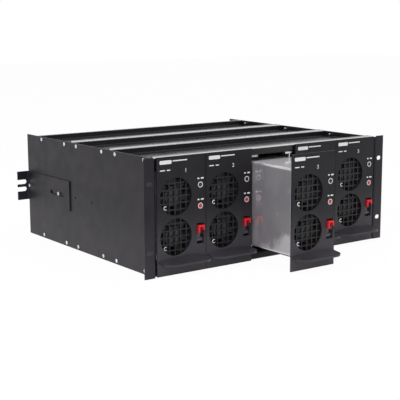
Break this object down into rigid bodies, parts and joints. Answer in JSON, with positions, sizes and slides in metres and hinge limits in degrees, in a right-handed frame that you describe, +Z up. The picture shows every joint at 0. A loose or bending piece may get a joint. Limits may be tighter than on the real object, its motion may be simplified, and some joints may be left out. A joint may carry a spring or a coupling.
{
  "type": "rack power shelf",
  "caption": "Rack-mount power shelf: folded black sheet housing holding plug-in power modules with fans, latches and handles, one drawn partly out, with side brackets at the rear.",
  "frame": {"origin": "middle of the plane on which the two rack ears bear against the rack's front rails, half-way up the front", "axes": "+X to the right seen from the front, +Y to the rear, +Z up"},
  "size_m": [0.492, 0.519, 0.177],
  "materials": {
    "black_paint": "satin",
    "zinc_steel": "bright zinc",
    "bright_case": "semi-bright",
    "black_plastic": "matt",
    "red_plastic": "gloss",
    "indicator_red": "gloss",
    "copper": "bare copper",
    "electronics": "mixed"
  },
  "bodies": {
    "shelf": {"side_left": "black_paint", "side_right": "black_paint", "top_pans": "black_paint", "bottom_pans": "black_paint", "guide_rails": "zinc_steel", "rear_panel": "black_paint", "sockets": "black_plastic", "bus_bars": "copper", "rear_brackets": "black_paint", "screws": "zinc_steel"},
    "module_1": {"face_plate_1": "black_paint", "handle_1": "black_paint", "case_1": "bright_case", "finger_guards_1": "black_plastic", "fan_frames_1": "black_plastic", "indicators_1": "indicator_red", "power_deck_1": "electronics"},
    "latch_lever_1": {"latch_1": "red_plastic"},
    "upper_fan_1": {"upper_rotor_1": "black_plastic"},
    "lower_fan_1": {"lower_rotor_1": "black_plastic"},
    "module_2": {"face_plate_2": "black_paint", "handle_2": "black_paint", "case_2": "bright_case", "finger_guards_2": "black_plastic", "fan_frames_2": "black_plastic", "indicators_2": "indicator_red", "power_deck_2": "electronics"},
    "latch_lever_2": {"latch_2": "red_plastic"},
    "upper_fan_2": {"upper_rotor_2": "black_plastic"},
    "lower_fan_2": {"lower_rotor_2": "black_plastic"},
    "module_3": {"face_plate_3": "black_paint", "handle_3": "black_paint", "case_3": "bright_case", "finger_guards_3": "black_plastic", "fan_frames_3": "black_plastic", "indicators_3": "indicator_red", "power_deck_3": "electronics"},
    "latch_lever_3": {"latch_3": "red_plastic"},
    "upper_fan_3": {"upper_rotor_3": "black_plastic"},
    "lower_fan_3": {"lower_rotor_3": "black_plastic"},
    "module_4": {"face_plate_4": "black_paint", "handle_4": "black_paint", "case_4": "bright_case", "finger_guards_4": "black_plastic", "fan_frames_4": "black_plastic", "indicators_4": "indicator_red", "power_deck_4": "electronics"},
    "latch_lever_4": {"latch_4": "red_plastic"},
    "upper_fan_4": {"upper_rotor_4": "black_plastic"},
    "lower_fan_4": {"lower_rotor_4": "black_plastic"},
    "module_5": {"face_plate_5": "black_paint", "handle_5": "black_paint", "case_5": "bright_case", "finger_guards_5": "black_plastic", "fan_frames_5": "black_plastic", "indicators_5": "indicator_red", "power_deck_5": "electronics"},
    "latch_lever_5": {"latch_5": "red_plastic"},
    "upper_fan_5": {"upper_rotor_5": "black_plastic"},
    "lower_fan_5": {"lower_rotor_5": "black_plastic"}
  },
  "joints": [
    {"name": "module_1_slide", "type": "slide", "parent": "shelf", "child": "module_1", "axis": [0, -1, 0], "range_m": [0, 0.3]},
    {"name": "latch_1_hinge", "type": "hinge", "parent": "module_1", "child": "latch_lever_1", "pos_m": [-0.1422, 0.0045, -0.042], "axis": [1, 0, 0], "range_deg": [0, 40], "stiffness_Nm_per_rad": 0.02, "springref_deg": -17.19},
    {"name": "upper_fan_1_spin", "type": "hinge", "parent": "module_1", "child": "upper_fan_1", "pos_m": [-0.186, 0.015, 0.0284], "axis": [0, 1, 0], "continuous": true},
    {"name": "lower_fan_1_spin", "type": "hinge", "parent": "module_1", "child": "lower_fan_1", "pos_m": [-0.186, 0.015, -0.032], "axis": [0, 1, 0], "continuous": true},
    {"name": "module_2_slide", "type": "slide", "parent": "shelf", "child": "module_2", "axis": [0, -1, 0], "range_m": [0, 0.3]},
    {"name": "latch_2_hinge", "type": "hinge", "parent": "module_2", "child": "latch_lever_2", "pos_m": [-0.0542, 0.0045, -0.042], "axis": [1, 0, 0], "range_deg": [0, 40], "stiffness_Nm_per_rad": 0.02, "springref_deg": -17.19},
    {"name": "upper_fan_2_spin", "type": "hinge", "parent": "module_2", "child": "upper_fan_2", "pos_m": [-0.098, 0.015, 0.0284], "axis": [0, 1, 0], "continuous": true},
    {"name": "lower_fan_2_spin", "type": "hinge", "parent": "module_2", "child": "lower_fan_2", "pos_m": [-0.098, 0.015, -0.032], "axis": [0, 1, 0], "continuous": true},
    {"name": "module_3_slide", "type": "slide", "parent": "shelf", "child": "module_3", "axis": [0, -1, 0], "range_m": [-0.092, 0.208]},
    {"name": "latch_3_hinge", "type": "hinge", "parent": "module_3", "child": "latch_lever_3", "pos_m": [0.0338, -0.0875, -0.042], "axis": [1, 0, 0], "range_deg": [0, 40], "stiffness_Nm_per_rad": 0.02, "springref_deg": -17.19},
    {"name": "upper_fan_3_spin", "type": "hinge", "parent": "module_3", "child": "upper_fan_3", "pos_m": [-0.01, -0.077, 0.0284], "axis": [0, 1, 0], "continuous": true},
    {"name": "lower_fan_3_spin", "type": "hinge", "parent": "module_3", "child": "lower_fan_3", "pos_m": [-0.01, -0.077, -0.032], "axis": [0, 1, 0], "continuous": true},
    {"name": "module_4_slide", "type": "slide", "parent": "shelf", "child": "module_4", "axis": [0, -1, 0], "range_m": [0, 0.3]},
    {"name": "latch_4_hinge", "type": "hinge", "parent": "module_4", "child": "latch_lever_4", "pos_m": [0.1218, 0.0045, -0.042], "axis": [1, 0, 0], "range_deg": [0, 40], "stiffness_Nm_per_rad": 0.02, "springref_deg": -17.19},
    {"name": "upper_fan_4_spin", "type": "hinge", "parent": "module_4", "child": "upper_fan_4", "pos_m": [0.078, 0.015, 0.0284], "axis": [0, 1, 0], "continuous": true},
    {"name": "lower_fan_4_spin", "type": "hinge", "parent": "module_4", "child": "lower_fan_4", "pos_m": [0.078, 0.015, -0.032], "axis": [0, 1, 0], "continuous": true},
    {"name": "module_5_slide", "type": "slide", "parent": "shelf", "child": "module_5", "axis": [0, -1, 0], "range_m": [0, 0.3]},
    {"name": "latch_5_hinge", "type": "hinge", "parent": "module_5", "child": "latch_lever_5", "pos_m": [0.2098, 0.0045, -0.042], "axis": [1, 0, 0], "range_deg": [0, 40], "stiffness_Nm_per_rad": 0.02, "springref_deg": -17.19},
    {"name": "upper_fan_5_spin", "type": "hinge", "parent": "module_5", "child": "upper_fan_5", "pos_m": [0.166, 0.015, 0.0284], "axis": [0, 1, 0], "continuous": true},
    {"name": "lower_fan_5_spin", "type": "hinge", "parent": "module_5", "child": "lower_fan_5", "pos_m": [0.166, 0.015, -0.032], "axis": [0, 1, 0], "continuous": true}
  ]
}
